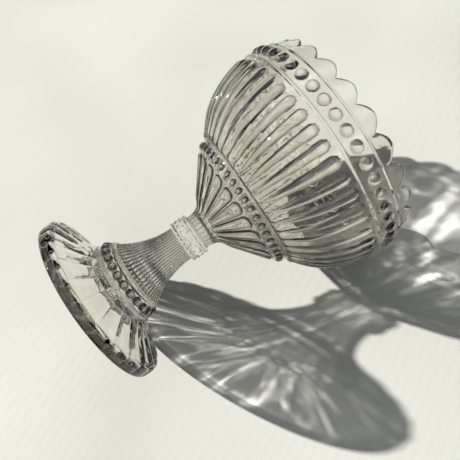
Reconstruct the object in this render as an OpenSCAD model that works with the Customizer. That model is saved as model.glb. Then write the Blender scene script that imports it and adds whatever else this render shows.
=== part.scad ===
// Pressed glass footed bowl, standing upright: fluted foot, bead collar, ribbed stem, knop,
// leaf-panelled lower cup, fluted bowl, bead band and scalloped rim. Millimetres.
// The origin is the centre of the foot, on the plane it stands on. +Z runs up the axis to the rim.

/* [Whole bowl] */
// Height from the table to the tips of the scallops
total_h = 160; // [155:0.5:165]
// Radius of the foot at its widest
foot_r = 47.5; // [45:0.5:50]
// Thickness of the bowl's wall
wall_t = 4.6; // [3.6:0.1:5]

/* [Foot] */
// Height at which the foot's skirt meets the bead collar
skirt_h = 16.5; // [15.5:0.1:17.2]
// Height of the foot's thick outer edge
edge_h = 7; // [6:0.25:8]
// Width of the flat ring that touches the table
base_ring_w = 4.5; // [3.5:0.25:6]
// Number of rounded panels round the foot
panel_n = 24; // [18:1:30]
// Depth of the valley between two panels
panel_depth = 0.9; // [0.4:0.1:1.4]
// Radius of the bead collar at its lower ring
collar_low_r = 22.6; // [21:0.1:23.5]
// Radius of the bead collar at its upper ring
collar_top_r = 19.8; // [19.6:0.1:21]
// Height at which the collar ends and the stem begins
collar_h = 26.5; // [26:0.25:28]
// Number of beads round the collar
collar_bead_n = 24; // [20:1:28]
// Radius of one collar bead
collar_bead_r = 2.4; // [1.8:0.1:2.5]

/* [Stem and knop] */
// Height at which the stem meets the knop
stem_h = 55.5; // [54:0.5:57]
// Radius of the stem at its narrowest
stem_r = 9.8; // [9:0.1:10.5]
// Number of fine ribs down the stem
stem_rib_n = 48; // [30:1:54]
// Depth of the furrow between two ribs
stem_furrow = 0.4; // [0.2:0.05:0.5]
// Radius of the knop's band
knop_r = 11.3; // [11:0.1:12.5]
// Height of the knop with both its rings
knop_h = 9.5; // [8.5:0.25:11]
// Number of dots round the knop
knop_dot_n = 16; // [8:1:24]
// Radius of the neck above the knop
neck_r = 9.6; // [9:0.1:10.5]

/* [Lower cup] */
// Height at which the leaf panels begin
cup_low = 71; // [70:0.25:72]
// Height of the small bead ring's lower edge
cup_top = 91; // [90:0.25:92]
// Number of leaf panels
leaf_n = 24; // [16:1:28]
// Number of small beads
small_bead_n = 46; // [36:1:50]
// Radius of one small bead
small_bead_r = 2.1; // [1.6:0.1:2.3]

/* [Bowl] */
// Height of the ring below the flutes
low_ring_z = 97.2; // [96.8:0.1:97.8]
// Height of the ring above the flutes
top_ring_z = 138; // [136:0.5:140]
// Radius of the bowl at its widest
bowl_r = 61.4; // [60:0.2:62]
// Radius of the curve that the bowl's side follows
side_curve_r = 52.6; // [51.5:0.1:53.5]
// Number of raised flutes
flute_n = 46; // [36:1:46]
// Radius of one flute's round back
flute_r = 3.2; // [2.6:0.1:3.4]

/* [Rim] */
// Number of large beads under the rim
bead_n = 46; // [36:1:48]
// Radius of one large bead
bead_r = 3.3; // [2.6:0.1:3.4]
// Height of the fine ring under the scallops
rim_ring_z = 150; // [149:0.25:151]
// Radius of the bowl at the tips of the scallops
rim_r = 58; // [57:0.25:59.5]
// Number of scallops
scallop_n = 24; // [18:1:30]
// Depth of the notch between two scallops
notch_d = 5; // [4:0.25:6]
// Thickness of the glass in the scallops
rim_t = 3.4; // [2.6:0.1:4]

/* [Hidden] */
$fn = 72;

glass = [0.80, 0.80, 0.76];
bright = [0.90, 0.90, 0.86];
ring_h = 1.8;
eps = 0.01;

// How far each row is turned about the axis from the first flute.
panel_turn = 3;
collar_turn = 10;
leaf_turn = 9.5;

// The bowl's side is an arc: its centre sits off the axis, level with the widest part.
side_x = bowl_r - side_curve_r;
side_z = 140;
inner_curve_r = side_curve_r - wall_t;

// Below the arc the inside runs down as a straight cone that touches the arc at this angle.
cone_a = 40;
cone_r = side_x + inner_curve_r * sin(cone_a);
cone_z = side_z - inner_curve_r * cos(cone_a);
well_r = 7;
well_z = inner_z(well_r);
function inner_z(r) = cone_z - (cone_r - r) * tan(cone_a);
function inner_r(z) = cone_r - (cone_z - z) / tan(cone_a);
function side_r(z) = side_x + sqrt(side_curve_r * side_curve_r - (side_z - z) * (side_z - z));

// The stem's side is an arc too, upright where it meets the knop.
stem_drop = stem_h - collar_h;
stem_flare = collar_top_r - 0.4 - stem_r;
stem_curve_r = (stem_flare * stem_flare + stem_drop * stem_drop) / (2 * stem_flare);

knop_z = stem_h + knop_h / 2;
knop_top = stem_h + knop_h;
neck_curve_r = 7;
neck_bend_z = knop_top + 3.4;
cup_a = 52.4;
bend_r = neck_r + neck_curve_r * (1 - cos(cup_a));
bend_z = neck_bend_z + neck_curve_r * sin(cup_a);
function cup_r(z) = bend_r + (z - bend_z) * tan(cup_a);

// The band that carries the small beads leans out between the leaves and the lower ring.
bead_low_r = cup_r(cup_top) + 1.2;
bead_top_z = low_ring_z - ring_h / 2;
bead_top_r = side_r(bead_top_z) - 0.2;

band_r = side_r(side_z) - 0.6;
band_low = top_ring_z + ring_h / 2;
band_high = rim_ring_z - ring_h / 3;
rim_low = rim_ring_z + ring_h / 3;
rim_low_r = band_r - 0.9;

// ---- helpers ----
module around(n, phase = 0) {
    for (i = [0 : n - 1])
        rotate([0, 0, phase + i * 360 / n])
            children();
}

// One slice of a turned wall, given its outline as radius-and-height points.
module turned(points) {
    rotate_extrude(convexity = 6)
        polygon(points);
}

// A raised ring: a flat slice of wall with a half-round outer edge.
module ring_of(r_in_low, r_in_top, r_out, z_mid, h) {
    rotate_extrude(convexity = 6) {
        polygon([[r_in_low, z_mid - h / 2], [r_out, z_mid - h / 2],
                 [r_out, z_mid + h / 2], [r_in_top, z_mid + h / 2]]);
        translate([r_out, z_mid])
            circle(h / 2);
    }
}

// A row of beads: one ball, cut away where a cone stands for the wall behind it, repeated round.
module beads(n, r, at_r, at_z, wall_low, wall_top, phase = 0) {
    around(n, phase)
        difference() {
            translate([at_r, 0, at_z])
                sphere(r, $fn = 48);
            rotate([0, 0, 180])
                translate([0, 0, wall_low[1]])
                    cylinder(r1 = wall_low[0], r2 = wall_top[0], h = wall_top[1] - wall_low[1], $fn = 240);
        }
}

// ---- foot ----
module foot_outline() {
    edge_in = foot_r - base_ring_w;
    polygon([[edge_in, 0], [foot_r - 1.2, 0], [foot_r, 1.2], [foot_r, edge_h - 2.4],
             [foot_r - 0.8, edge_h - 0.8], [foot_r - 2.8, edge_h + 0.6],
             [foot_r - 6, edge_h + 1.9], [collar_low_r + 9, skirt_h - 3.9],
             [collar_low_r + 3.6, skirt_h - 1.5], [collar_low_r, skirt_h],
             [0, skirt_h], [0, skirt_h - 3.2], [12, skirt_h - 3.8],
             [collar_low_r, skirt_h - 6.2], [edge_in - 5, edge_h - 1.8],
             [edge_in - 0.8, edge_h - 4]]);
}

module foot_skirt() {
    slope = atan((skirt_h - edge_h - 0.6) / (foot_r - 2.8 - collar_low_r));
    run = foot_r - collar_low_r + 6;
    cutter_r = 1.5;
    color(glass)
        difference() {
            rotate_extrude(convexity = 6)
                foot_outline();
            around(panel_n, panel_turn) {
                translate([collar_low_r + 1.5, 0, skirt_h + cutter_r - panel_depth - 0.5])
                    rotate([0, 90 + slope, 0])
                        cylinder(r = cutter_r, h = run);
                translate([foot_r + cutter_r - panel_depth, 0, -1])
                    cylinder(r = cutter_r, h = edge_h + 2);
            }
        }
}

module collar_lower_ring() {
    color(bright)
        ring_of(0, 0, collar_low_r + 0.4, skirt_h + ring_h / 2, ring_h);
}

module bead_collar() {
    color(glass)
        turned([[0, skirt_h + ring_h], [collar_low_r - 0.3, skirt_h + ring_h],
                [collar_top_r + 0.2, collar_h - ring_h], [0, collar_h - ring_h]]);
}

module collar_beads() {
    mid_z = (skirt_h + collar_h) / 2;
    mid_r = (collar_low_r + collar_top_r) / 2;
    color(bright)
        beads(collar_bead_n, collar_bead_r, mid_r - 0.9, mid_z,
              [collar_low_r - 0.3, skirt_h + ring_h], [collar_top_r + 0.2, collar_h - ring_h],
              collar_turn);
}

module collar_upper_ring() {
    color(bright)
        ring_of(0, 0, collar_top_r + 0.1, collar_h - ring_h / 2, ring_h);
}

// ---- stem and knop ----
module stem() {
    arc_x = stem_r + stem_curve_r;
    color(glass)
        difference() {
            rotate_extrude(convexity = 6)
                difference() {
                    translate([0, collar_h])
                        square([collar_top_r + 2, stem_drop]);
                    translate([arc_x, stem_h])
                        circle(stem_curve_r, $fn = 180);
                }
            around(stem_rib_n)
                translate([arc_x, 0, stem_h])
                    rotate([90, 0, 0])
                        rotate([0, 0, 178])
                            rotate_extrude(angle = 45, $fn = 180)
                                translate([stem_curve_r, 0])
                                    circle(stem_furrow, $fn = 16);
        }
}

module knop_lower_ring() {
    color(bright)
        ring_of(0, 0, knop_r - 0.1, stem_h + ring_h / 2, ring_h);
}

module knop_band() {
    color(glass)
        translate([0, 0, stem_h + ring_h])
            cylinder(r = knop_r, h = knop_h - 2 * ring_h);
}

module knop_dots() {
    dot_r = 0.8;
    color(bright)
        beads(knop_dot_n, dot_r, knop_r - 0.2, knop_z, [knop_r, stem_h], [knop_r, knop_top]);
}

module knop_upper_ring() {
    color(bright)
        ring_of(0, 0, knop_r - 0.1, knop_top - ring_h / 2, ring_h);
}

module neck() {
    furrow = 0.45;
    color(glass)
        difference() {
            rotate_extrude(convexity = 6)
                difference() {
                    translate([0, knop_top])
                        square([neck_r + neck_curve_r, cup_low - knop_top]);
                    translate([neck_r + neck_curve_r, neck_bend_z])
                        circle(neck_curve_r);
                    translate([neck_r, knop_top - eps])
                        square([neck_curve_r, neck_bend_z - knop_top + eps]);
                }
            around(leaf_n)
                translate([neck_r + 0.1, 0, knop_top - 1])
                    cylinder(r = furrow, h = cup_low - knop_top + 2);
        }
}

// ---- lower cup ----
module cup_outline() {
    well_end = well_z - 2.2;
    difference() {
        polygon([[0, cup_low], [neck_r + neck_curve_r, cup_low], [bend_r, bend_z],
                 [cup_r(cup_top), cup_top], [inner_r(cup_top), cup_top],
                 [well_r, well_z], [well_r - 1.8, well_z - 1.1],
                 [well_r - 4, well_end + 0.2], [0, well_end]]);
        translate([neck_r + neck_curve_r, neck_bend_z])
            circle(neck_curve_r);
        polygon([[bend_r, bend_z], [neck_r + neck_curve_r, neck_bend_z],
                 [neck_r + 3 * neck_curve_r, neck_bend_z], [neck_r + 3 * neck_curve_r, bend_z]]);
    }
}

// One leaf: a round-backed tongue, narrow at the neck and round at the top, sunk in the cup's side.
module leaf() {
    low_w = 2.5;
    top_w = 3.5;
    sunk = 2.2;
    top_z = cup_top - 5.4;
    len = (top_z - bend_z) / cos(cup_a);
    translate([bend_r, 0, bend_z])
        rotate([0, cup_a, 0])
            translate([-sunk, 0, 0]) {
                cylinder(r1 = low_w, r2 = top_w, h = len);
                translate([0, 0, len])
                    sphere(top_w);
            }
}

module leaf_cup() {
    color(glass)
        union() {
            rotate_extrude(convexity = 6)
                cup_outline();
            around(leaf_n, leaf_turn)
                leaf();
        }
}

module small_bead_band() {
    color(glass)
        turned([[inner_r(cup_top), cup_top], [bead_low_r, cup_top],
                [bead_top_r, bead_top_z], [inner_r(bead_top_z), bead_top_z]]);
}

module small_beads() {
    mid_z = (cup_top + bead_top_z) / 2;
    mid_r = (bead_low_r + bead_top_r) / 2;
    lean = atan((bead_top_r - bead_low_r) / (bead_top_z - cup_top));
    sunk = 0.9;
    color(bright)
        beads(small_bead_n, small_bead_r, mid_r - sunk * cos(lean), mid_z + sunk * sin(lean),
              [bead_low_r - 4 * tan(lean), cup_top - 4], [bead_top_r + 4 * tan(lean), bead_top_z + 4]);
}

module lower_ring() {
    low = low_ring_z - ring_h / 2;
    high = low_ring_z + ring_h / 2;
    color(bright)
        ring_of(inner_r(low), inner_r(high), side_r(low_ring_z) + 0.1, low_ring_z, ring_h);
}

// ---- bowl ----
// The side between two heights, as the space inside an arc.
module side_outline(z0, z1, curve) {
    intersection() {
        translate([0, z0])
            square([bowl_r + 5, z1 - z0]);
        translate([side_x, side_z])
            circle(curve, $fn = 180);
    }
}

// One flute: a round bar bent to the bowl's side, sunk deeper towards its foot, with a round top.
module flute() {
    proud = 1.9;
    foot_sink = 1.7;
    curve = side_curve_r - flute_r + proud;
    top_gap = 5.9;
    top_a = asin((side_z - top_ring_z + top_gap) / curve);
    span_a = 43;
    translate([side_x - foot_sink / 2, 0, side_z + foot_sink])
        rotate([90, 0, 0])
            rotate([0, 0, -top_a - span_a]) {
                rotate_extrude(angle = span_a, $fn = 180)
                    translate([curve, 0])
                        circle(flute_r, $fn = 32);
                rotate([0, 0, span_a])
                    translate([curve, 0, 0])
                        sphere(flute_r + 0.05, $fn = 32);
            }
}

module bowl_wall() {
    low = low_ring_z + ring_h / 2;
    high = top_ring_z - ring_h / 2;
    color(glass)
        difference() {
            union() {
                rotate_extrude(convexity = 6)
                    side_outline(low, high, side_curve_r);
                around(flute_n)
                    flute();
            }
            rotate_extrude(convexity = 6) {
                side_outline(low - 1, high + 1, inner_curve_r);
                polygon([[0, low - 1], [inner_r(low - 1), low - 1], [cone_r, cone_z], [0, cone_z]]);
            }
        }
}

module flute_dots() {
    dot_r = 0.9;
    dot_z = low_ring_z + 2.6;
    near = 1.2;
    color(bright)
        beads(flute_n, dot_r, side_r(dot_z) - 0.1, dot_z, [side_r(dot_z - near), dot_z - near],
              [side_r(dot_z + near), dot_z + near]);
}

module upper_ring() {
    color(bright)
        ring_of(band_r - wall_t, band_r - wall_t, band_r + 0.4, top_ring_z, ring_h);
}

// ---- rim ----
module large_bead_band() {
    color(glass)
        turned([[band_r - wall_t, band_low], [band_r, band_low], [rim_low_r + 0.3, band_high],
                [rim_low_r - wall_t + 0.6, band_high]]);
}

module large_beads() {
    mid_z = (band_low + band_high) / 2 + 0.3;
    color(bright)
        beads(bead_n, bead_r, band_r - 1.9, mid_z, [band_r, band_low], [rim_low_r + 0.3, band_high]);
}

module rim_ring() {
    h = rim_low - band_high;
    r_in = rim_low_r - wall_t + 0.6;
    color(bright)
        ring_of(r_in, r_in, rim_low_r + 0.2, (rim_low + band_high) / 2, h);
}

// The space between two scallops: a cusp that opens into two rounded shoulders.
module notch_outline() {
    half = 0.94 * rim_r * tan(180 / scallop_n);
    steps = 6;
    round_power = 2.1;
    lift = 2;
    curve = [for (k = [-steps : steps])
                 [k * half / steps, notch_d * (1 - pow(1 - abs(k) / steps, round_power))]];
    polygon(concat(curve, [[half, notch_d + lift], [-half, notch_d + lift]]));
}

module scalloped_rim() {
    round_r = rim_t / 2;
    cut_r = rim_r - 15;
    cut_len = 25;
    color(glass)
        difference() {
            rotate_extrude(convexity = 6) {
                polygon([[rim_low_r - rim_t, rim_low], [rim_low_r, rim_low],
                         [rim_r, total_h - round_r], [rim_r - rim_t, total_h - round_r]]);
                translate([rim_r - round_r, total_h - round_r])
                    circle(round_r);
            }
            around(scallop_n)
                translate([cut_r, 0, total_h - notch_d])
                    rotate([90, 0, 90])
                        linear_extrude(height = cut_len)
                            notch_outline();
        }
}

foot_skirt();
collar_lower_ring();
bead_collar();
collar_beads();
collar_upper_ring();
stem();
knop_lower_ring();
knop_band();
knop_dots();
knop_upper_ring();
neck();
leaf_cup();
small_bead_band();
small_beads();
lower_ring();
bowl_wall();
flute_dots();
upper_ring();
large_bead_band();
large_beads();
rim_ring();
scalloped_rim();
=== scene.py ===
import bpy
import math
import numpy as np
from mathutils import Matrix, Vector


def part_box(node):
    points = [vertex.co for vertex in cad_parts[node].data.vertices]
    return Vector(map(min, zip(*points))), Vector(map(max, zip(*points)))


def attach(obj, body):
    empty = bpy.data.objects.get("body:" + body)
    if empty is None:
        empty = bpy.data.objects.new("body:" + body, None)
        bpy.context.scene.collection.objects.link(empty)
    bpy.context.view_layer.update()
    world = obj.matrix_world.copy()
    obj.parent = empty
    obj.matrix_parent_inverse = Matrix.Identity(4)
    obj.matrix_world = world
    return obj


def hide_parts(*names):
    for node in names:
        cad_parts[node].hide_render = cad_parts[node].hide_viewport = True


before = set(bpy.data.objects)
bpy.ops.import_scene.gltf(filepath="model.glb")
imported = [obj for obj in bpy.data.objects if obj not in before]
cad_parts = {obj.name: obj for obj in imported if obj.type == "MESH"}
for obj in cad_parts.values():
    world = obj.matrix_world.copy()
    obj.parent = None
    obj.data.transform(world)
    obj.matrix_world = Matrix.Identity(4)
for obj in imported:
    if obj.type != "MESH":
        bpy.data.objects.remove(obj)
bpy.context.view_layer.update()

# %% [markdown]
# # A pressed glass footed bowl
# The real bowl is one article of clear glass, pressed in an iron mould that carries all the ornament:
# panels on the foot, beads on two collars, ribs on the stem, leaves under the bowl, flutes on its side
# and scallops round its rim. It could be modelled as a turned shape with each bead and flute glued on,
# but glass shows every hidden join as a bright or dark line. So the whole bowl is one turned outline
# with a relief added to it, worked out as whole arrays, and it is cut into named skins at the rings.

MM = 0.001


def levels(node):
    """Lowest height, highest height and largest radius of a CAD node, in millimetres."""
    low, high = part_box(node)
    return low[2] / MM, high[2] / MM, max(high[0], -low[0]) / MM


Z_SKIRT = levels("foot_skirt")[1]
Z_COLLAR_0, Z_COLLAR_1, _ = levels("bead_collar")
Z_STEM_0, Z_STEM_1, _ = levels("stem")
Z_KNOP_0, Z_KNOP_1, R_KNOP = levels("knop_band")
Z_NECK_0, Z_CUP_0, _ = levels("neck")
Z_BEADS_0, Z_BEADS_1, _ = levels("small_bead_band")
Z_SIDE_0, Z_SIDE_1, _ = levels("bowl_wall")
Z_BAND_0, Z_BAND_1, R_BAND = levels("large_bead_band")
Z_RIM_0, Z_TOP, _ = levels("scalloped_rim")
print("foot, stem, side and top heights in mm:",
      [round(float(v), 2) for v in (Z_SKIRT, Z_STEM_0, Z_STEM_1, Z_SIDE_0, Z_SIDE_1, Z_TOP)])

# %% [markdown]
# ## The outline
# A glass presser's mould is turned on a lathe first, so the plain outline comes first here too. It
# could be drawn as a curve by hand, but then no size in it could be changed alone. So it is a list of
# corners, each a radius, a height and the fillet that rounds it, because pressed glass has no knife
# edges. A corner with no fillet is kept as it is, and a true arc is a run of such points.


# %% Rounding the corners of an outline
def arc(centre, radius, a0, a1, steps):
    """Points on a circle from angle a0 to a1, in degrees: centre plus radius times (cos, sin)."""
    angles = np.radians(np.linspace(a0, a1, steps))
    return [(centre[0] + radius * math.cos(t), centre[1] + radius * math.sin(t), 0.0) for t in angles]


def rounded(corners):
    """Replaces each corner by a bend that touches both sides.

    The bend starts and ends at the fillet's radius over the tangent of half the corner's angle. In
    between it is (1 - t) squared of its start, 2t(1 - t) of the corner and t squared of its end.
    """
    points = []
    for i, (r, z, fillet) in enumerate(corners):
        here = np.array([r, z])
        if fillet <= 0 or i in (0, len(corners) - 1):
            points.append(here)
            continue
        before = np.array(corners[i - 1][:2]) - here
        after = np.array(corners[i + 1][:2]) - here
        len_before, len_after = np.linalg.norm(before), np.linalg.norm(after)
        before, after = before / len_before, after / len_after
        half = 0.5 * math.acos(float(np.clip(before @ after, -0.9999, 0.9999)))
        reach = min(fillet / math.tan(half), 0.48 * len_before, 0.48 * len_after)
        start, end = here + before * reach, here + after * reach
        for t in np.linspace(0, 1, 9):
            points.append((1 - t) ** 2 * start + 2 * t * (1 - t) * here + t * t * end)
    return np.array(points)


def ring(r, z0, z1, proud):
    """A fine ring: half an ellipse from (r, z0) to (r, z1) that stands proud of the wall."""
    middle, half = (z0 + z1) / 2, (z1 - z0) / 2
    angles = np.radians(np.linspace(-90, 90, 17))
    return [(r + proud * math.cos(t), middle + half * math.sin(t), 0.0) for t in angles]


zones = []
print("a square corner with a 1 mm fillet has", len(rounded([(0, 0, 0), (5, 0, 1), (5, 5, 0)])), "points")

# %% [markdown]
# ## The foot and its collar
# The foot is a shallow bell, hollow below, that stands on a narrow flat ring. A slanted collar above it
# carries a row of beads between two fine rings. It could be a separate dish joined to a collar, but
# the real foot is one flow of glass, so the outline walks from the middle of the hollow, out round the
# foot's edge and up its outside. Each stretch has a name, and becomes a skin of that name later.

# %% The outline of the foot
R_FOOT = 47.5
R_STAND = 45.3
R_COLLAR_0 = 22.9
R_COLLAR_1 = 20.2

zones += [
    ("foot_under", [(0, 13.3, 0), (12, 12.7, 8), (22.6, 10.3, 12), (38, 5.2, 4), (42.2, 3.0, 1.5),
                    (43, 0, 0.7), (R_STAND, 0, 0)]),
    ("foot_skirt", [(R_STAND, 0, 0), (R_FOOT, 0, 1.6), (R_FOOT, 6.9, 2.6), (41.6, 8.9, 8), (31.6, 12.4, 20),
                    (26.2, 14.9, 8), (R_COLLAR_0 + 0.1, Z_SKIRT - 0.3, 0.6), (R_COLLAR_0, Z_SKIRT, 0)]),
    ("collar_lower_ring", ring(R_COLLAR_0, Z_SKIRT, Z_COLLAR_0, 0.95)),
    ("bead_collar", [(R_COLLAR_0, Z_COLLAR_0, 0), (R_COLLAR_0 - 0.7, Z_COLLAR_0 + 0.15, 0.3),
                     (R_COLLAR_1 - 0.2, Z_COLLAR_1 - 0.15, 0.3), (R_COLLAR_1, Z_COLLAR_1, 0)]),
    ("collar_upper_ring", ring(R_COLLAR_1, Z_COLLAR_1, Z_STEM_0, 0.8)),
]
print("foot radius", R_FOOT, "mm, collar from", R_COLLAR_0, "to", R_COLLAR_1, "mm")

# %% [markdown]
# ## The stem and the knop
# The stem is a trumpet: a hollow curve that is widest at the collar and upright under the knop. The knop
# is a short band between two rings. A trumpet could be drawn by eye, but one arc that is upright at the
# top has its radius fixed by how far it flares and drops: half of (flare squared plus drop squared)
# over flare. Above the knop the neck turns outwards on a smaller arc.

# %% The outline of the stem, the knop and the neck
R_STEM_FOOT = 19.4
R_STEM = 9.8
R_RINGS = 11.2
R_NECK = 9.6
BEND = 11.0
Z_BEND = Z_NECK_0 + 1.5
KNOP_PROUD = 0.65

stem_drop = Z_STEM_1 - Z_STEM_0
stem_flare = R_STEM_FOOT - R_STEM
stem_curve = (stem_flare ** 2 + stem_drop ** 2) / (2 * stem_flare)
stem_span = math.degrees(math.asin(stem_drop / stem_curve))
neck_end = 180 - math.degrees(math.asin((Z_CUP_0 - Z_BEND) / BEND))

zones += [
    ("stem", [(R_COLLAR_1, Z_STEM_0, 0), (R_STEM_FOOT + 0.1, Z_STEM_0 + 0.1, 0.3)]
     + arc((R_STEM + stem_curve, Z_STEM_1 - 0.4), stem_curve, 180 + stem_span - 1.2, 180.4, 60)
     + [(R_STEM + 0.1, Z_STEM_1 - 0.15, 0.3), (R_RINGS, Z_STEM_1, 0)]),
    ("knop_lower_ring", ring(R_RINGS, Z_STEM_1, Z_KNOP_0, KNOP_PROUD)),
    ("knop_band", [(R_RINGS, Z_KNOP_0, 0), (R_KNOP + 0.2, Z_KNOP_0 + 0.3, 0.3),
                   (R_KNOP + 0.2, Z_KNOP_1 - 0.3, 0.3), (R_RINGS, Z_KNOP_1, 0)]),
    ("knop_upper_ring", ring(R_RINGS, Z_KNOP_1, Z_NECK_0, KNOP_PROUD)),
    ("neck", [(R_RINGS, Z_NECK_0, 0), (R_NECK + 0.1, Z_NECK_0 + 0.15, 0.3)]
     + arc((R_NECK + BEND, Z_BEND), BEND, 180, neck_end, 12)),
]
print(f"stem arc radius {stem_curve:.1f} mm over {stem_span:.1f} degrees")

# %% [markdown]
# ## The bowl
# The cup is a straight cone that the neck's bend runs into, and the side above it is a true arc. The
# cup and the side could be one free curve, but the small bead band sits exactly where the two meet, so
# two plain formulas meet there instead.

# %% The outline of the cup and the side
SIDE_R = 52.6
SIDE_X = R_BAND + 0.6 - SIDE_R
SIDE_Z = 140.0
CUP_TILT = 52.4


def side_r(z):
    """Radius of the bowl's outer side at a height: the arc's centre plus its half chord."""
    return SIDE_X + math.sqrt(SIDE_R ** 2 - (SIDE_Z - z) ** 2)


def side_angle(z):
    """Angle on the side's arc at a height, in degrees: minus the arcsine of the drop over the radius."""
    return -math.degrees(math.asin((SIDE_Z - z) / SIDE_R))


def cup_r(z):
    """Radius of the lower cup at a height: the bend's end plus the rise times the tangent of its tilt."""
    tilt = math.radians(CUP_TILT)
    end_r = R_NECK + BEND * (1 - math.cos(tilt))
    end_z = Z_BEND + BEND * math.sin(tilt)
    return end_r + (z - end_z) * math.tan(tilt)


cup_top = (cup_r(Z_BEADS_0) + 1.2, Z_BEADS_0, 0)
side_foot = side_r(Z_BEADS_1) + 0.3
side_top = side_r(Z_SIDE_1)

zones += [
    ("leaf_cup", arc((R_NECK + BEND, Z_BEND), BEND, neck_end, 180 - CUP_TILT, 14)
     + [(cup_r(Z_BEADS_0 - 0.2), Z_BEADS_0 - 0.2, 0.5), cup_top]),
    ("small_bead_band", [cup_top, (side_foot - 0.7, Z_BEADS_1 - 0.2, 0.3), (side_foot, Z_BEADS_1, 0)]),
    ("lower_ring", ring(side_foot, Z_BEADS_1, Z_SIDE_0, 0.9)),
    ("bowl_wall", [(side_foot, Z_SIDE_0, 0)]
     + arc((SIDE_X, SIDE_Z), SIDE_R, side_angle(Z_SIDE_0) + 0.3, side_angle(Z_SIDE_1), 90)),
    ("upper_ring", ring(side_top, Z_SIDE_1, Z_BAND_0, 0.9)),
]
print(f"the side goes from {side_foot:.1f} to {side_top:.1f} mm in radius")

# %% [markdown]
# ## The rim and the inside
# The rim leans in a little and has a rounded lip. The inside of the bowl is smooth, because the plunger
# that presses the glass is plain: an arc a wall's thickness inside the outer one, then a cone down to a
# small round well. It could be an offset of the outside, but then the flutes would show twice.

# %% The outline of the rim and the inside
WALL = 4.6
INNER_R = SIDE_R - WALL
CONE_TILT = 40.0
LIP_R = 56.3
WELL_R = 7

cone_r = SIDE_X + INNER_R * math.sin(math.radians(CONE_TILT))
cone_z = SIDE_Z - INNER_R * math.cos(math.radians(CONE_TILT))
well_z = cone_z - (cone_r - WELL_R) * math.tan(math.radians(CONE_TILT))

zones += [
    ("large_bead_band", [(side_top, Z_BAND_0, 0), (R_BAND, Z_BAND_0 + 0.15, 0.3),
                         (R_BAND - 0.6, Z_BAND_1 - 0.15, 0.3), (R_BAND - 0.5, Z_BAND_1, 0)]),
    ("rim_ring", ring(R_BAND - 0.6, Z_BAND_1, Z_RIM_0, 0.6)),
    ("scalloped_rim", [(R_BAND - 0.6, Z_RIM_0, 0), (R_BAND - 0.9, Z_RIM_0 + 0.1, 0.2),
                       (R_BAND - 2.8, Z_TOP - 1.0, 1.2), (R_BAND - 3.3, Z_TOP, 0.9),
                       (R_BAND - 4.9, Z_TOP, 0.9), (R_BAND - 5.4, Z_TOP - 1.2, 1.2), (LIP_R, Z_RIM_0, 0)]),
    ("inner_side", [(LIP_R, Z_RIM_0, 0), (LIP_R + 0.2, SIDE_Z, 0)]
     + arc((SIDE_X - 0.3, SIDE_Z), INNER_R, 0, -(90 - CONE_TILT), 80)
     + [(WELL_R, well_z, 6), (3.2, well_z - 1.9, 3), (0, well_z - 2.2, 0)]),
]
print(f"the well's lowest point is at {well_z - 2.2:.1f} mm")

# %% [markdown]
# ## One table for the whole outline
# Every skin and every ornament asks where the outline is, so all the stretches are laid end to end and
# measured by the distance along them, s. A table with a step of 0.04 mm answers quickly for a million
# points at once. It could be a formula for each stretch, but then each ornament would need its own.


# %% The outline as a table
def step_lengths(points):
    """Length of each step from one point to the next: the root of the squares of its two parts."""
    return np.hypot(*np.diff(points, axis=0).T)


outline, marks, total = [], {}, 0.0
for name, corners in zones:
    points = rounded(corners)
    points = points[np.r_[True, step_lengths(points) > 1e-6]]
    length = float(step_lengths(points).sum())
    marks[name] = (total, total + length)
    outline.append(points if not outline else points[1:])
    total += length
outline = np.vstack(outline)
walked = np.r_[0, np.cumsum(step_lengths(outline))]
S = np.linspace(0, walked[-1], int(walked[-1] / 0.04))
OUT_R = np.interp(S, walked, outline[:, 0])
OUT_Z = np.interp(S, walked, outline[:, 1])
print(f"outline {total:.1f} mm long, {len(zones)} zones, {len(S)} places in the table")

# %% [markdown]
# ## The outline's normal
# The relief is added square to the outline, so the outline's own normal is needed. It is the tangent
# turned by a right angle. Fire polish takes the sharpness off every crease of real glass, and a short
# running average does the same for the outline and its normal.


# %% The outline's normal
def smooth(values, n):
    """Running average over n samples, with the ends held."""
    padded = np.r_[np.full(n, values[0]), values, np.full(n, values[-1])]
    return np.convolve(padded, np.ones(n) / n, mode="same")[n:-n]


OUT_R = smooth(OUT_R, 5)
OUT_R[0] = OUT_R[-1] = 0.0
OUT_Z = smooth(OUT_Z, 5)
tangent_r, tangent_z = np.gradient(OUT_R, S), np.gradient(OUT_Z, S)
tangent = np.hypot(tangent_r, tangent_z)
NRM_R, NRM_Z = smooth(tangent_z / tangent, 15), smooth(-tangent_r / tangent, 15)


def at(table, s):
    """Value of a table at s along the outline, on the straight line between its two nearest places."""
    return np.interp(s, S, table)


print("normal under the foot:", round(float(at(NRM_R, 1.0)), 2), round(float(at(NRM_Z, 1.0)), 2))

# %% [markdown]
# ## Measuring on the glass
# An engraver of the mould marks out each ornament from two lines: how far it is from the ring below or
# above it, and how far it is round the bowl from its own middle line. These small helpers measure both,
# in millimetres, for whole arrays. They could be written out in each ornament, but they are the same.


# %% Distances, gates and bosses
def zone_t(s, name):
    """Distance in millimetres from the start of a zone, and from its end."""
    start, end = marks[name]
    return s - start, end - s


def gate(x, width):
    """Rises smoothly from 0 at x = 0 to 1 at x = width: 3t squared minus 2t cubed."""
    t = np.clip(x / width, 0, 1)
    return t * t * (3 - 2 * t)


def inside(s, name):
    """1 in a zone and 0 outside it."""
    low, high = zone_t(s, name)
    return (low > 0) * (high > 0)


def within(s, name):
    """1 in a zone, fading to 0 over 1 mm at both of its ends: the product of two gates."""
    low, high = zone_t(s, name)
    return gate(low, 1.0) * gate(high, 1.0)


def across(theta, count, turn, r):
    """Arc distance in millimetres from the nearest of `count` evenly spaced lines."""
    pitch = 2 * math.pi / count
    a = theta - math.radians(turn)
    return (a - pitch * np.round(a / pitch)) * r


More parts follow.
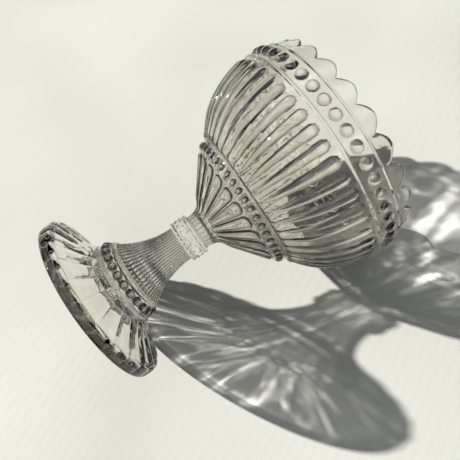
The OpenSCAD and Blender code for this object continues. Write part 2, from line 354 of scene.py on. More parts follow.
def cap(dx, ds, wide, tall, high):
    """A domed boss with an oval edge: high times the root of 1 minus the scaled distance squared."""
    rho2 = (dx / wide) ** 2 + (ds / tall) ** 2
    return high * np.sqrt(np.clip(1.04 - rho2, 0, None)) * gate(1.04 - rho2, 0.10)


print("gate at a quarter, a half and three quarters:", [float(gate(t, 1.0)) for t in (0.25, 0.5, 0.75)])

# %% [markdown]
# ## The foot's panels and the collar's beads
# The foot is pressed in 24 panels, each a low round lobe that is deeper towards the edge, and each has a
# round bead above it on the collar. The lobes could be 24 separate wedges, but their seams would show
# in the glass. As a height that depends on the angle alone, they meet in clean valleys. A bead or a dot
# is named by three sizes in millimetres: half its width, half its length and how high it stands.

# %% Heights on the foot and the collar
PANELS = 24
PANEL_TURN = 10.5
PANEL_DEEP = 1.15
PANEL_LIFT = 0.25
COLLAR_TURN = 10.0
COLLAR_BEAD = (2.4, 2.4, 2.2)


def foot_panels(s, theta, r):
    """A lobe on each panel: depth times (the root of 1 minus 0.9 of u squared, less 1), plus a lift."""
    low, high = zone_t(s, "foot_skirt")
    on = gate(low - 2.0, 3.0) * gate(high - 0.3, 3.0)
    u = across(theta, PANELS, PANEL_TURN, 1.0) / (2 * math.pi / PANELS)
    lobe = PANEL_DEEP * (np.sqrt(1 - 0.90 * (2 * u) ** 2) - 1) + PANEL_LIFT
    return on * lobe * (0.45 + 0.55 * gate(r - 28, 14))


def collar_beads(s, theta, r):
    """A round boss in the middle of the collar, over each panel."""
    low, high = zone_t(s, "bead_collar")
    boss = cap(across(theta, PANELS, COLLAR_TURN, r), low - (low + high) / 2, *COLLAR_BEAD)
    return boss * inside(s, "bead_collar")


print(PANELS, "panels and collar beads,", COLLAR_BEAD[2], "mm high")

# %% [markdown]
# ## The stem's ribs and the knop's dots
# Fine ribs run up the stem and fade out at both of its ends, and two rows of pin-head dots sit on the
# knop, one row half a step on from the other. Ribs could be tubes laid on the stem, but a wave round
# the axis is enough: a cosine, made broader at its tops by a power less than 1.

# %% Heights on the stem and the knop
RIBS = 48
DOTS = 16
KNOP_DOT = (0.5, 0.5, 0.35)


def stem_ribs(s, theta, r):
    """A wave round the stem: the cosine's size to the power 0.6, less 0.8, deeper where it is wide."""
    low, high = zone_t(s, "stem")
    on = gate(low - 0.4, 1.2) * gate(high - 1.2, 1.6)
    rib = np.abs(np.cos(RIBS / 2 * theta)) ** 0.6 - 0.8
    return on * rib * (0.22 + 0.36 * gate(r - 10, 8))


def knop_dots(s, theta, r):
    """Two rows of small bosses, above and below the knop's middle, half a step apart."""
    low, high = zone_t(s, "knop_band")
    height = 0.0
    for lift, turn in ((1.2, 0.0), (-1.4, 180 / DOTS)):
        height = height + cap(across(theta, DOTS, turn, r), low - (low + high) / 2 - lift, *KNOP_DOT)
    return height * inside(s, "knop_band")


print(RIBS, "ribs,", 2 * DOTS, "dots on the knop")

# %% [markdown]
# ## The leaves on the cup
# Round-topped leaves stand side by side on the cup and narrow to furrows in the neck. A leaf is a low
# dome with a raised hem. Both depend on one scaled distance, rho, that is 0 on the leaf's middle line
# and 1 at its edge, so the hem follows the edge round the top without being drawn.

# %% Heights on the neck and the cup
LEAVES = 24
LEAF_TURN = 9.5
LEAF_TOP_R = 3.6
LEAF_HEM = 0.65
LEAF_DOME = 0.85


def neck_furrows(s, theta, r):
    """A wave round the neck, half a millimetre deep, that fades out over the first 3 mm of the cup."""
    wave = 0.5 * (np.abs(np.cos(LEAVES / 2 * (theta - math.radians(LEAF_TURN)))) ** 0.8 - 0.7)
    low, high = zone_t(s, "neck")
    on_neck = gate(low - 0.3, 1.2) * (high > 0)
    on_cup = inside(s, "leaf_cup") * (1 - gate(zone_t(s, "leaf_cup")[0], 3.0))
    return (on_neck + on_cup) * wave


def cup_leaves(s, theta, r):
    """Hem plus dome: a bell curve about rho 0.78, and the root of 1 minus rho squared."""
    low, high = zone_t(s, "leaf_cup")
    half = 0.44 * 2 * math.pi * r / LEAVES
    over = np.clip(LEAF_TOP_R + 1.3 - high, 0, None)
    dx = across(theta, LEAVES, LEAF_TURN, r)
    rho = np.sqrt(dx ** 2 + over ** 2) / np.minimum(half, LEAF_TOP_R)
    hem = LEAF_HEM * np.exp(-((rho - 0.78) / 0.20) ** 2)
    dome = LEAF_DOME * np.sqrt(np.clip(1 - rho ** 2, 0, None))
    return inside(s, "leaf_cup") * gate(low, 9.0) * (hem + dome)


print(LEAVES, "leaves with round tops of", LEAF_TOP_R, "mm")

# %% [markdown]
# ## The flutes and the bead rows on the bowl
# Each flute is a long tongue that is pointed below, round at the top and domed across, with a small dot
# under its tip. A small bead stands below it and a large one above it, so one count sets all four rows.
# The tongues could be cut with tapered tools, but here the half width simply grows along the side.

# %% Heights on the bowl
FLUTES = 46
FLUTE_TOP_R = 3.0
FLUTE_TIP = 4.2
FLUTE_GAP = 2.0
FLUTE_HIGH = 1.35
SMALL_BEAD = (1.6, 1.95, 1.4)
FLUTE_DOT = (1.05, 1.5, 0.8)
FLUTE_DOT_UP = 2.6
LARGE_BEAD = (3.2, 3.2, 2.3)


def small_beads(s, theta, r):
    """An oval boss in the middle of the small bead band, under each flute."""
    low, high = zone_t(s, "small_bead_band")
    boss = cap(across(theta, FLUTES, 0, r), low - (low + high) / 2 + 0.1, *SMALL_BEAD)
    return boss * inside(s, "small_bead_band")


def side_flutes(s, theta, r):
    """A tongue: (1 minus the scaled distance squared) to the power 0.62, its half width t to the 0.45."""
    low, high = zone_t(s, "bowl_wall")
    start, end = marks["bowl_wall"]
    top = end - start - FLUTE_GAP - FLUTE_TOP_R
    t = np.clip((low - FLUTE_TIP) / (top - FLUTE_TIP), 1e-4, 1)
    half = FLUTE_TOP_R * t ** 0.45
    over = np.clip(low - top, 0, None)
    rho2 = (across(theta, FLUTES, 0, r) ** 2 + over ** 2) / half ** 2
    tongue = FLUTE_HIGH * np.clip(1 - rho2, 0, None) ** 0.62
    return tongue * (0.35 + 0.65 * gate(low - FLUTE_TIP, 14)) * (low > FLUTE_TIP) * (high > 0)


def flute_dots(s, theta, r):
    """A small oval boss under each flute's tip."""
    low, high = zone_t(s, "bowl_wall")
    boss = cap(across(theta, FLUTES, 0, r), low - FLUTE_DOT_UP, *FLUTE_DOT)
    return boss * (low > 0) * (low < 6)


def large_beads(s, theta, r):
    """A round boss in the middle of the large bead band, over each flute."""
    low, high = zone_t(s, "large_bead_band")
    boss = cap(across(theta, FLUTES, 0, r), low - (low + high) / 2 - 0.2, *LARGE_BEAD)
    return boss * inside(s, "large_bead_band")


ORNAMENTS = (foot_panels, collar_beads, stem_ribs, knop_dots, neck_furrows, cup_leaves,
             small_beads, side_flutes, flute_dots, large_beads)


def relief(s, theta):
    """Height of all the ornament over the outline, in millimetres: the sum of every ornament's."""
    r = at(OUT_R, s)
    height = np.zeros(np.broadcast(s, theta).shape)
    for ornament in ORNAMENTS:
        height = height + ornament(s, theta, r)
    return height


print(FLUTES, "flutes with their beads,", len(ORNAMENTS), "kinds of ornament")

# %% [markdown]
# ## The scallops
# The rim is cut into rounded lobes with a sharp notch between two. A mould does this with a wavy edge.
# Notches could be cut out of the finished rim, but cut edges of glass are hard to keep clean. So every
# height above the fine ring is squeezed by how tall the rim is at that angle.

# %% The rim's height round the bowl, and a point anywhere on the glass
SCALLOPS = 24
NOTCH = 4.5
LOBE_POWER = 1.9


def rim_height(theta):
    """Height of the rim's edge: the notch's depth times a power of the distance from a lobe's middle."""
    half = math.pi / SCALLOPS
    u = np.abs(across(theta, SCALLOPS, math.degrees(half), 1.0)) / half
    return Z_TOP - NOTCH * u ** LOBE_POWER


def glass_point(s, theta):
    """The point at s along the outline and theta round the axis, in metres: outline plus relief."""
    height = relief(s, theta)
    r = at(OUT_R, s) + height * at(NRM_R, s)
    z = at(OUT_Z, s) + height * at(NRM_Z, s)
    share = np.clip((z - Z_RIM_0) / (Z_TOP - Z_RIM_0), 0, 1)
    z = np.where(z > Z_RIM_0, Z_RIM_0 + share * (rim_height(theta) - Z_RIM_0), z)
    return np.stack([r * np.cos(theta), r * np.sin(theta), z], axis=-1) * MM


def glass_normal(s, theta):
    """Outward normal: the cross product of a step round the axis and a step along the outline."""
    ds, dt = 0.06, 0.0006
    along = glass_point(s + ds, theta) - glass_point(s - ds, theta)
    around = glass_point(s, theta + dt) - glass_point(s, theta - dt)
    normal = np.cross(around, along)
    return normal / np.maximum(np.linalg.norm(normal, axis=-1, keepdims=True), 1e-12)


print("deepest notch:", round(float(Z_TOP - rim_height(np.array(0.0))), 2), "mm")

# %% [markdown]
# ## Where the glass looks dark
# Thick edges, grooves and the steep sides of every boss bend the light so far that they look dark
# grey. Light traced through the skins gives part of this. The rest is painted shade: it could be painted
# by hand, but it follows from the shape, so a painted shade from 0 to 1 is kept at each point, and the
# glass colour reads it later as the attribute "edge".

# %% The painted shade in grooves and thick edges
# Strengths of the painted shade: on the foot's thick edge, in the stem's grooves, and a flat painted grey on
# the stem.
STEEP_FROM = 0.02
STEEP_SPAN = 0.22
EDGE_PAINTED_SHADE = 0.93
GROOVE_PAINTED_SHADE = 0.95
STEM_PAINTED_GREY = 0.26


def leaning(s, theta, normal):
    """How far the relief leans off the plain outline: 1 minus the cosine between normals, to 0 to 1."""
    flat_r, flat_z = at(NRM_R, s), at(NRM_Z, s)
    outward = normal[..., 0] * np.cos(theta) + normal[..., 1] * np.sin(theta)
    cosine = (outward * flat_r + normal[..., 2] * flat_z) / np.hypot(flat_r, flat_z)
    return np.clip((1 - cosine - STEEP_FROM) / STEEP_SPAN, 0, 1)


def painted_shade_at(s, theta, normal):
    """Painted shade: lean times each zone's share, plus the foot's thick edge, the stem's grooves and grey.
    """
    share = 0.85 * (1 - 0.55 * inside(s, "foot_skirt")) * (1 - 0.35 * inside(s, "large_bead_band"))
    share = share + 0.25 * within(s, "leaf_cup")
    share = share + 0.5 * inside(s, "bead_collar") + 0.6 * inside(s, "small_bead_band")
    # Painted shade also lies evenly over the bead collar.
    painted_shade = share * leaning(s, theta, normal) + 0.12 * inside(s, "bead_collar")
    skirt_low, _ = zone_t(s, "foot_skirt")
    under_low, under_high = zone_t(s, "foot_under")
    painted_shade = painted_shade + EDGE_PAINTED_SHADE * (skirt_low > 0) * (1 - gate(skirt_low - 6.4, 1.5))
    painted_shade = painted_shade + EDGE_PAINTED_SHADE * gate(under_low - 43, 1.5) * (under_high >= 0)
    low, high = zone_t(s, "stem")
    groove = gate(0.5 - np.abs(np.cos(RIBS / 2 * theta)), 0.3)
    painted_shade = painted_shade + GROOVE_PAINTED_SHADE * groove * gate(low - 0.4, 1.0) * gate(high - 0.8, 1.0)
    return np.clip(painted_shade + STEM_PAINTED_GREY * within(s, "stem"), 0, 1)


# The painted shade at one point on the foot's thick edge.
foot_edge = np.array([marks["foot_skirt"][0] + 3.0])
print("smoke on the foot's edge:", painted_shade_at(foot_edge, 0.0, glass_normal(foot_edge, np.array([0.0]))))

# %% [markdown]
# ## From arrays to skins
# One skin is a grid: rows along the outline, columns round the axis. The last column joins the first,
# and a row on the axis becomes a single point with a fan of triangles, so no seam or pole is open.
# A grid could also be spun from a curve by a modifier, but the beads and flutes need a height at every
# point. So the points, their normals and their painted shade are all worked out here, one array each.


# %% One grid of points and faces
FLOW_ROUND = 0.055
FLOW_ALONG = 0.0003


def rows(name, step):
    """Evenly spaced distances over a zone: its length over the step gives the count, two at least."""
    start, end = marks[name]
    return np.linspace(start, end, max(3, int(round((end - start) / step)) + 1))


def grid_faces(n_rows, n_cols):
    """Quads between neighbouring rows: point (i, j) is number i times the columns plus j."""
    i, j = np.meshgrid(np.arange(n_rows - 1), np.arange(n_cols), indexing="ij")
    k = (j + 1) % n_cols
    quads = np.stack([i * n_cols + j, i * n_cols + k, (i + 1) * n_cols + k, (i + 1) * n_cols + j], axis=-1)
    return quads.reshape(-1, 4)


def sheet_of(s_rows, cols):
    """Points, normals, painted shade, flow and faces of one grid; a row on the axis closes to a point."""
    theta = np.linspace(0, 2 * math.pi, cols, endpoint=False)
    first = at(OUT_R, s_rows[0]) < 0.2
    last = at(OUT_R, s_rows[-1]) < 0.2
    body = s_rows[int(first): len(s_rows) - int(last)]
    s, t = np.meshgrid(body, theta, indexing="ij")
    points = glass_point(s, t).reshape(-1, 3)
    flow = np.stack([FLOW_ROUND * np.cos(t), FLOW_ROUND * np.sin(t), s * FLOW_ALONG], axis=-1).reshape(-1, 3)
    normals = glass_normal(s, t)
    painted_shade = painted_shade_at(s, t, normals).ravel()
    normals = normals.reshape(-1, 3)
    quads = grid_faces(len(body), cols)
    fans = np.zeros((0, 3), int)
    j = np.arange(cols)
    k = (j + 1) % cols
    for on_axis, s_end, row in ((first, s_rows[0], 0), (last, s_rows[-1], len(body) - 1)):
        if not on_axis:
            continue
        points = np.vstack([points, [[0, 0, float(at(OUT_Z, s_end)) * MM]]])
        normals = np.vstack([normals, [[0, 0, -1.0 if row == 0 else 1.0]]])
        flow = np.vstack([flow, [[0, 0, float(s_end) * FLOW_ALONG]]])
        painted_shade = np.r_[painted_shade, 0.0]
        a, b, c = np.full(cols, len(points) - 1), row * cols + j, row * cols + k
        fans = np.vstack([fans, np.stack([a, c, b] if row == 0 else [a, b, c], axis=-1)])
    return points, normals, painted_shade, flow, quads, fans


print("a grid of 3 rows and 4 columns has", len(grid_faces(3, 4)), "faces")

# %% [markdown]
# ## Filling a mesh
# A mesh of 100,000 points is slow to build face by face, so whole arrays are put into it: the points,
# the corners of all faces in one row, and where each face starts in that row. Blender could work out
# the normals from the faces, but then each cut between two skins would show as a line. So the surface's
# own normals are set, and light bends the same way on both sides of a cut.


# %% The skin maker
def skin(name, parts, material):
    """One named mesh from several grids: each grid's point numbers start after the last grid's."""
    sheets = [sheet_of(s_rows, cols) for s_rows, cols in parts]
    points, normals, painted_shade, flow = (np.concatenate([sheet[i] for sheet in sheets]) for i in range(4))
    loops, sizes, base = [], [], 0
    for sheet in sheets:
        quads, fans = sheet[4:]
        loops += [(quads + base).ravel(), (fans + base).ravel()]
        sizes += [np.full(len(quads), 4), np.full(len(fans), 3)]
        base += len(sheet[0])
    loops, sizes = np.concatenate(loops), np.concatenate(sizes)
    mesh = bpy.data.meshes.new(name)
    mesh.vertices.add(len(points))
    mesh.vertices.foreach_set("co", points.astype(np.float32).ravel())
    mesh.loops.add(len(loops))
    mesh.loops.foreach_set("vertex_index", loops.astype(np.int32))
    mesh.polygons.add(len(sizes))
    mesh.polygons.foreach_set("loop_start", np.r_[0, np.cumsum(sizes)[:-1]].astype(np.int32))
    mesh.update(calc_edges=True)
    mesh.validate()
    mesh.shade_smooth()
    mesh.normals_split_custom_set_from_vertices(normals.tolist())
    # The attribute "edge" holds the painted shade of grooves, steep sides and thick edges.
    edge = mesh.attributes.new("edge", "FLOAT", "POINT")
    edge.data.foreach_set("value", painted_shade.astype(np.float32))
    drift = mesh.attributes.new("flow", "FLOAT_VECTOR", "POINT")
    drift.data.foreach_set("vector", flow.astype(np.float32).ravel())
    mesh.materials.append(material)
    piece = bpy.data.objects.new(name, mesh)
    bpy.context.scene.collection.objects.link(piece)
    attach(piece, "root")
    print(f"{name}: {len(points)} points, {int((sizes - 2).sum())} triangles")
    return piece


print("one grid of the knop is", rows("knop_band", 0.16).shape[0], "rows")

# %% [markdown]
# ## Shader nodes in one line each
# A finish is a small tree of nodes. Clicking one together and copying it out as code gives a long
# listing, so two helpers make a node, set its numbers and plug in its sockets in one line.


# %% Node helpers
def add(tree, kind, inputs=None, **options):
    """One shader node: options are its own choices, inputs are values or sockets to link from."""
    made = tree.nodes.new("ShaderNode" + kind)
    for option, value in options.items():
        setattr(made, option, value)
    for place, value in (inputs or {}).items():
        if isinstance(value, bpy.types.NodeSocket):
            tree.links.new(value, made.inputs[place])
        else:
            made.inputs[place].default_value = value
    return made


def maths(tree, operation, *terms):
    """A Math node with its terms in order, each a number or a socket; gives the result's socket."""
    return add(tree, "Math", dict(enumerate(terms)), operation=operation).outputs["Value"]


def blend(tree, factor, a, b):
    """A colour mix: (1 - factor) of a plus factor of b; gives the result's socket."""
    return add(tree, "Mix", {"Factor": factor, "A": a, "B": b}, data_type="RGBA").outputs["Result"]


def noise(tree, vector, scale, detail, distortion=0.0):
    """Cloudy noise about 1 / scale metres across; gives its factor's socket."""
    inputs = {"Vector": vector, "Scale": scale, "Detail": detail, "Distortion": distortion}
    return add(tree, "TexNoise", inputs).outputs["Fac"]


def bump(tree, height, strength, distance, **under):
    """Small relief from a height, over the normal given as Normal, if any; gives a normal's socket."""
    inputs = {"Height": height, "Strength": strength, "Distance": distance, **under}
    return add(tree, "Bump", inputs).outputs["Normal"]


print("node helpers: add, maths, blend, noise, bump")

# %% [markdown]
# ## The glass
# Clear soda-lime glass with a faint warm grey cast. Pressed glass is never optically flat: the iron
# mould leaves a slow ripple and a finer grain, and years of washing leave faint dull patches. A plain
# glass shader would look too clean. So the roughness, the tint and the bump all come from noise on
# Object coordinates, at real sizes, and the tint turns to a painted shade colour where "edge" says so.

# %% The body of the glass
GLASS_IOR = 1.5
TINT_THIN = (0.92, 0.895, 0.84, 1)
TINT_THICK = (0.85, 0.82, 0.76, 1)
# Colour of the painted shade in grooves, steep sides and thick edges.
PAINTED_SHADE_COLOUR = (0.035, 0.03, 0.024, 1)
DULLEST = 0.06
RIPPLE_SCALE = 160.0
GRAIN_SCALE = 900.0
WASH_SCALE = 55.0


def glass_body(tree, where, edge):
    """The glass shader: ripple plus grain as bump, wash marks as roughness, tint mixed with painted shade.
    """
    ripple = bump(tree, noise(tree, where, RIPPLE_SCALE, 2.0), 0.2, 0.0004)
    grain = bump(tree, noise(tree, where, GRAIN_SCALE, 1.0), 0.12, 0.0001, Normal=ripple)
    wash = noise(tree, where, WASH_SCALE, 4.0)
    spread = {"Value": wash, "From Min": 0.45, "From Max": 0.8, "To Min": 0.0, "To Max": DULLEST}
    dull = add(tree, "MapRange", spread).outputs["Result"]
    # The tint turns dark where "edge" holds painted shade.
    colour = blend(tree, edge, blend(tree, wash, TINT_THIN, TINT_THICK), PAINTED_SHADE_COLOUR)
    inputs = {"Transmission Weight": 1.0, "IOR": GLASS_IOR, "Normal": grain, "Roughness": dull,
              "Base Color": colour}
    return add(tree, "BsdfPrincipled", inputs).outputs["BSDF"]


print("glass bends light", GLASS_IOR, "times")

# %% [markdown]
# ## The light that the glass lets through
# In hard sun the bowl's shadow is grey with bright, stretched lines in it, where flutes and beads gather
# the light. Tracing those paths takes thousands of samples, so the shadow is given its own rule. A
# shadow ray passes straight through, dimmed by how slantwise it meets the skin and by the painted shade
# there, and brightened along thin ridges of a noise that is stretched along the outline, as the flutes are.

# %% The shadow's brightness
SHADOW_POWER = 2.0
SHADOW_GAIN = 0.62
SHADOW_FLOOR = 0.08
RIDGE_SHARP = 18.0
STREAK_GAIN = 2.2
STREAK_FLOOR = 0.72
EDGE_SHADE = 0.45
STREAK_SCALE = 75.0


def shadow_light(tree, edge):
    """Gain times facing squared, plus a floor; times the streaks; times 1 minus a share of the painted
    shade.
    """
    facing = add(tree, "LayerWeight", {"Blend": 0.5}).outputs["Facing"]
    square_on = maths(tree, "POWER", maths(tree, "SUBTRACT", 1.0, facing), SHADOW_POWER)
    through = maths(tree, "MULTIPLY_ADD", square_on, SHADOW_GAIN, SHADOW_FLOOR)
    flow = add(tree, "Attribute", attribute_name="flow").outputs["Vector"]
    swirl = noise(tree, flow, STREAK_SCALE, 2.5, 0.35)
    off_ridge = maths(tree, "ABSOLUTE", maths(tree, "SUBTRACT", swirl, 0.5))
    ridge = maths(tree, "MAXIMUM", maths(tree, "MULTIPLY_ADD", off_ridge, -RIDGE_SHARP, 1.0), 0.0)
    streaks = maths(tree, "MULTIPLY_ADD", ridge, STREAK_GAIN, STREAK_FLOOR)
    shade = maths(tree, "MULTIPLY_ADD", edge, -EDGE_SHADE, 1.0)
    return maths(tree, "MULTIPLY", maths(tree, "MULTIPLY", through, streaks), shade)


def pressed_glass():
    """Glass for every ray, but for shadow rays a clear sheet as bright as the shadow's rule says."""
    material = bpy.data.materials.new("pressed_glass")
    material.use_nodes = True
    tree = material.node_tree
    tree.nodes.clear()
    where = add(tree, "TexCoord").outputs["Object"]
    edge = add(tree, "Attribute", attribute_name="edge").outputs["Fac"]
    body = glass_body(tree, where, edge)
    clear = add(tree, "BsdfTransparent", {"Color": shadow_light(tree, edge)}).outputs["BSDF"]
    is_shadow = add(tree, "LightPath").outputs["Is Shadow Ray"]
    skin_shader = add(tree, "MixShader", {"Fac": is_shadow, 1: body, 2: clear}).outputs["Shader"]
    add(tree, "OutputMaterial", {"Surface": skin_shader})
    return material


glass = pressed_glass()
print(glass.name, "has", len(glass.node_tree.nodes), "nodes")

# %% [markdown]
# ## Cutting the glass into named skins
# Every skin ends where a ring begins, on the same line as the CAD node it stands for. One mesh for the
# whole bowl would be simpler, but then no zone could be found by name. Each skin has as many columns as
# its own ornament needs: a whole number for each panel, flute or scallop, so that all of them are alike.
# The inside of the bowl is smooth, so it has fewer columns.

# %% The skins
PANEL_COLS = PANELS * 30
RIB_COLS = RIBS * 14
KNOP_COLS = DOTS * 30
FLUTE_COLS = FLUTES * 20
BEAD_COLS = FLUTES * 28
RIM_COLS = SCALLOPS * 48


def make(name, step, cols, *nodes, extra=()):
    """A skin over one zone, with any extra zones, that replaces the CAD nodes it stands for."""
    parts = [(rows(name, step), cols)]
    for other, other_step, other_cols in extra:
        parts.append((rows(other, other_step), other_cols))
    skin("glass_" + name, parts, glass)
    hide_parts(*(nodes or (name,)))


make("foot_skirt", 0.5, PANEL_COLS, extra=[("foot_under", 0.8, PANELS * 15)])
make("collar_lower_ring", 0.18, PANEL_COLS)
make("bead_collar", 0.2, PANEL_COLS, "bead_collar", "collar_beads")
make("collar_upper_ring", 0.18, PANEL_COLS)
make("stem", 0.4, RIB_COLS)
make("knop_lower_ring", 0.18, KNOP_COLS)
make("knop_band", 0.16, KNOP_COLS, "knop_band", "knop_dots")
make("knop_upper_ring", 0.18, KNOP_COLS)
make("neck", 0.25, PANEL_COLS)
make("leaf_cup", 0.3, PANEL_COLS)
make("small_bead_band", 0.2, FLUTE_COLS, "small_bead_band", "small_beads")
make("lower_ring", 0.18, FLUTE_COLS)
make("bowl_wall", 0.65, FLUTE_COLS, "bowl_wall", "flute_dots", extra=[("inner_side", 1.6, FLUTES * 6)])
make("upper_ring", 0.18, FLUTE_COLS)
make("large_bead_band", 0.28, BEAD_COLS, "large_bead_band", "large_beads")
make("rim_ring", 0.16, FLUTE_COLS)
make("scalloped_rim", 0.33, RIM_COLS)

# %% [markdown]
# ## Where the bowl lies
# The bowl lies on its side on pale cloth, touching it with the foot's edge and the bowl's widest ring.
# The bowl could be laid down, but a finished piece keeps the CAD's upright place. So the cloth is
# tilted instead: of all tilts, the one where foot and bowl reach equally far down is the one it lies at.

# %% Where the cloth touches
LIE_TURN = 146.8
RELIEF_REACH = 0.2


def lying(turn):
    """The cloth's up direction, its tilt and how far it is from the origin, by trying 401 tilts.

    A point's reach at a tilt is its radius times the cosine less its height times the sine.
    """
    s = np.linspace(*marks["foot_skirt"], 400)
    foot_r, foot_z = at(OUT_R, s), at(OUT_Z, s)
    s = np.linspace(marks["bowl_wall"][0], marks["scalloped_rim"][0], 900)
    bowl_r, bowl_z = at(OUT_R, s) + RELIEF_REACH, at(OUT_Z, s)
    best, best_gap, reach = 0.0, 1e9, 0.0
    for angle in np.radians(np.linspace(2, 12, 401)):
        foot = (foot_r * math.cos(angle) - foot_z * math.sin(angle)).max()
        bowl = (bowl_r * math.cos(angle) - bowl_z * math.sin(angle)).max()
        if abs(foot - bowl) < best_gap:
            best, best_gap, reach = angle, abs(foot - bowl), max(foot, bowl)
    a = math.radians(turn)
    up = Vector((-math.cos(a) * math.cos(best), -math.sin(a) * math.cos(best), math.sin(best)))
    return up, best, reach * MM


table_up, tilt, reach = lying(LIE_TURN)
print(f"cloth tilted {math.degrees(tilt):.2f} degrees from the axis, {reach / MM:.1f} mm off it")

# %% [markdown]
# ## The cloth
# A plain pale table cloth of fine twill, a little uneven in tone. It is one square, and its weave could
# be modelled thread by thread, but at this distance a bump of two crossed waves, 45 degrees either way,
# is enough. Its back is clear, so that it doesn't hide the bowl from behind.

# %% The cloth
CLOTH_HALF = 3.0
CLOTH_GAP = 0.0001
CLOTH_DARK = (0.66, 0.675, 0.61, 1)
CLOTH_LIGHT = (0.86, 0.885, 0.84, 1)
THREAD_SCALE = 240.0
TONE_SCALE = 9.0


def pale_cloth():
    """Matt cloth: the product of two crossed waves as bump, a slow noise between two pale tones."""
    material = bpy.data.materials.new("pale_cloth")
    material.use_nodes = True
    tree = material.node_tree
    tree.nodes.clear()
    where = add(tree, "TexCoord").outputs["Object"]
    threads = []
    for turn in (45, -45):
        lay = add(tree, "Mapping", {"Vector": where, "Rotation": (0, 0, math.radians(turn))})
        wave = {"Vector": lay.outputs["Vector"], "Scale": THREAD_SCALE, "Distortion": 0.6}
        threads.append(add(tree, "TexWave", wave).outputs["Fac"])
    weave = bump(tree, maths(tree, "MULTIPLY", *threads), 0.45, 0.0001)
    tone = blend(tree, noise(tree, where, TONE_SCALE, 1.0), CLOTH_DARK, CLOTH_LIGHT)
    front = add(tree, "BsdfPrincipled", {"Base Color": tone, "Roughness": 0.9, "Normal": weave})
    back = add(tree, "BsdfTransparent")
    is_back = add(tree, "NewGeometry").outputs["Backfacing"]
    sides = {"Fac": is_back, 1: front.outputs["BSDF"], 2: back.outputs["BSDF"]}
    add(tree, "OutputMaterial", {"Surface": add(tree, "MixShader", sides).outputs["Shader"]})
    return material


side_axis = table_up.cross(Vector((0, 0, 1))).normalized()
long_axis = side_axis.cross(table_up).normalized()
middle = -table_up * (reach + CLOTH_GAP)
corners = [middle + side_axis * CLOTH_HALF * i + long_axis * CLOTH_HALF * j
           for i, j in ((-1, -1), (1, -1), (1, 1), (-1, 1))]
cloth_mesh = bpy.data.meshes.new("cloth")
cloth_mesh.from_pydata([tuple(corner) for corner in corners], [], [(0, 1, 2, 3)])
cloth_mesh.update()
if cloth_mesh.polygons[0].normal.dot(table_up) < 0:
    cloth_mesh.flip_normals()
cloth_mesh.materials.append(pale_cloth())
cloth = bpy.data.objects.new("cloth", cloth_mesh)
bpy.context.scene.collection.objects.link(cloth)
print("cloth normal", [round(v, 3) for v in table_up])

# %% [markdown]
# ## The key light
# One strong, slightly soft light comes in low over the foot, as sun through a window does. A large lamp
# would be gentler, but the long crisp shadow with bright lines in it is half of how clear glass looks.

# %% The key light
SUN_STRENGTH = 5.6
SUN_SPREAD = 1.2
SUN_COLOUR = (1.0, 0.97, 0.92)
travel = Vector((-0.09439, 0.85821, 0.50455))

sun = bpy.data.lights.new("key", "SUN")
sun.energy = SUN_STRENGTH
sun.angle = math.radians(SUN_SPREAD)
sun.color = SUN_COLOUR
sun_lamp = bpy.data.objects.new("key", sun)
sun_lamp.rotation_mode = "QUATERNION"
sun_lamp.rotation_quaternion = travel.to_track_quat("-Z", "Y")
bpy.context.scene.collection.objects.link(sun_lamp)
print(f"the sun is {math.degrees(math.asin(-travel.dot(table_up))):.0f} degrees above the cloth")

# %% [markdown]
# ## The sky
# Clear glass only shows its shape by what it mirrors and bends, so it needs light and dark round it. An
# even sky would wash it out. So the sky that the glass sees is dark at the sides and overhead, with a
# bright band between, measured by height above the cloth. The cloth gets a plain soft fill, and the eye
# sees a plain pale colour where the cloth ends.

# %% The sky
FILL = 0.15
FAR_COLOUR = (0.78, 0.80, 0.735, 1)
BAND = ((0.0, 0.01), (0.30, 0.015), (0.50, 0.04), (0.66, 0.60), (0.76, 2.8), (0.84, 0.15), (1.0, 0.03))

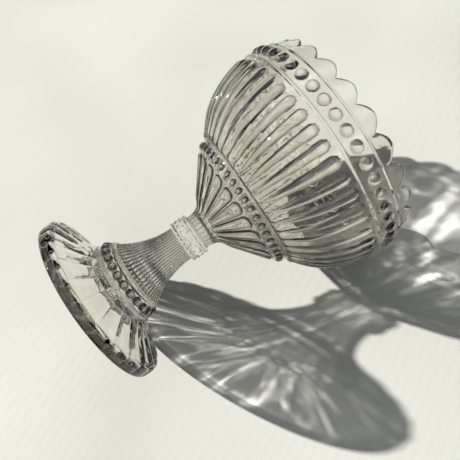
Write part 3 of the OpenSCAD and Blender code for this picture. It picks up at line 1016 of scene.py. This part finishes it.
world = bpy.data.worlds.new("sky")
bpy.context.scene.world = world
world.use_nodes = True
sky_tree = world.node_tree
direction = add(sky_tree, "TexCoord").outputs["Generated"]
above = add(sky_tree, "VectorMath", {0: direction, 1: table_up}, operation="DOT_PRODUCT")
ramp = add(sky_tree, "ValToRGB", {"Fac": above.outputs["Value"]})
stops = ramp.color_ramp.elements
for k, (place, value) in enumerate(BAND):
    stop = stops[0] if k == 0 else stops.new(place)
    stop.position = place
    stop.color = (value, value * 1.01, value * 1.03, 1)
stops.remove(stops[-1])
seen = add(sky_tree, "LightPath")
fill_colour = (FILL, FILL * 1.01, FILL * 1.04, 1)
filled = blend(sky_tree, seen.outputs["Is Diffuse Ray"], ramp.outputs["Color"], fill_colour)
shown = blend(sky_tree, seen.outputs["Is Camera Ray"], filled, FAR_COLOUR)
sky_tree.links.new(shown, sky_tree.nodes["Background"].inputs["Color"])
sky_tree.nodes["Background"].inputs["Strength"].default_value = 1.0
print("sky band:", [round(stop.position, 2) for stop in stops])

# %% [markdown]
# ## Camera
# The eye is close, about a hand's length and a half away, level with the knop, and looks down on the
# cloth, so the rings bend towards the rim above the knop and towards the foot below it. A longer lens
# from further off would be easier to aim, but it would flatten those bends.

# %% The camera
SENSOR = 36.0
FOCAL = 39.866
eye = Vector((0.27304, -0.03753, 0.07446))
eye_back = Vector((0.98548, -0.16823, -0.02304))
eye_up = Vector((-0.12618, -0.81633, 0.56364))
eye_right = eye_up.cross(eye_back).normalized()

lens = bpy.data.cameras.new("eye")
lens.sensor_width = SENSOR
lens.lens = FOCAL
lens.clip_start = 0.01
camera = bpy.data.objects.new("eye", lens)
aim = Matrix((eye_right, eye_up, eye_back)).transposed().to_4x4()
camera.matrix_world = Matrix.Translation(eye) @ aim
bpy.context.scene.collection.objects.link(camera)
bpy.context.scene.camera = camera
print("camera lens", round(lens.lens, 2), "mm")

# %% [markdown]
# ## How far light is followed
# Light meets glass many times on its way through a stem or a cup: in and out of each skin, and off the
# walls inside. Too few bounces turn those places black. Traced caustics are left out, because the
# shadow has its own rule, and the plain view transform keeps the pale cloth as pale as it is.

# %% Bounces
cycles = bpy.context.scene.cycles
cycles.max_bounces = 24
cycles.transmission_bounces = 24
cycles.transparent_max_bounces = 32
cycles.caustics_refractive = False
cycles.caustics_reflective = False
bpy.context.scene.view_settings.view_transform = "Standard"
print("light is followed through", cycles.max_bounces, "bounces")
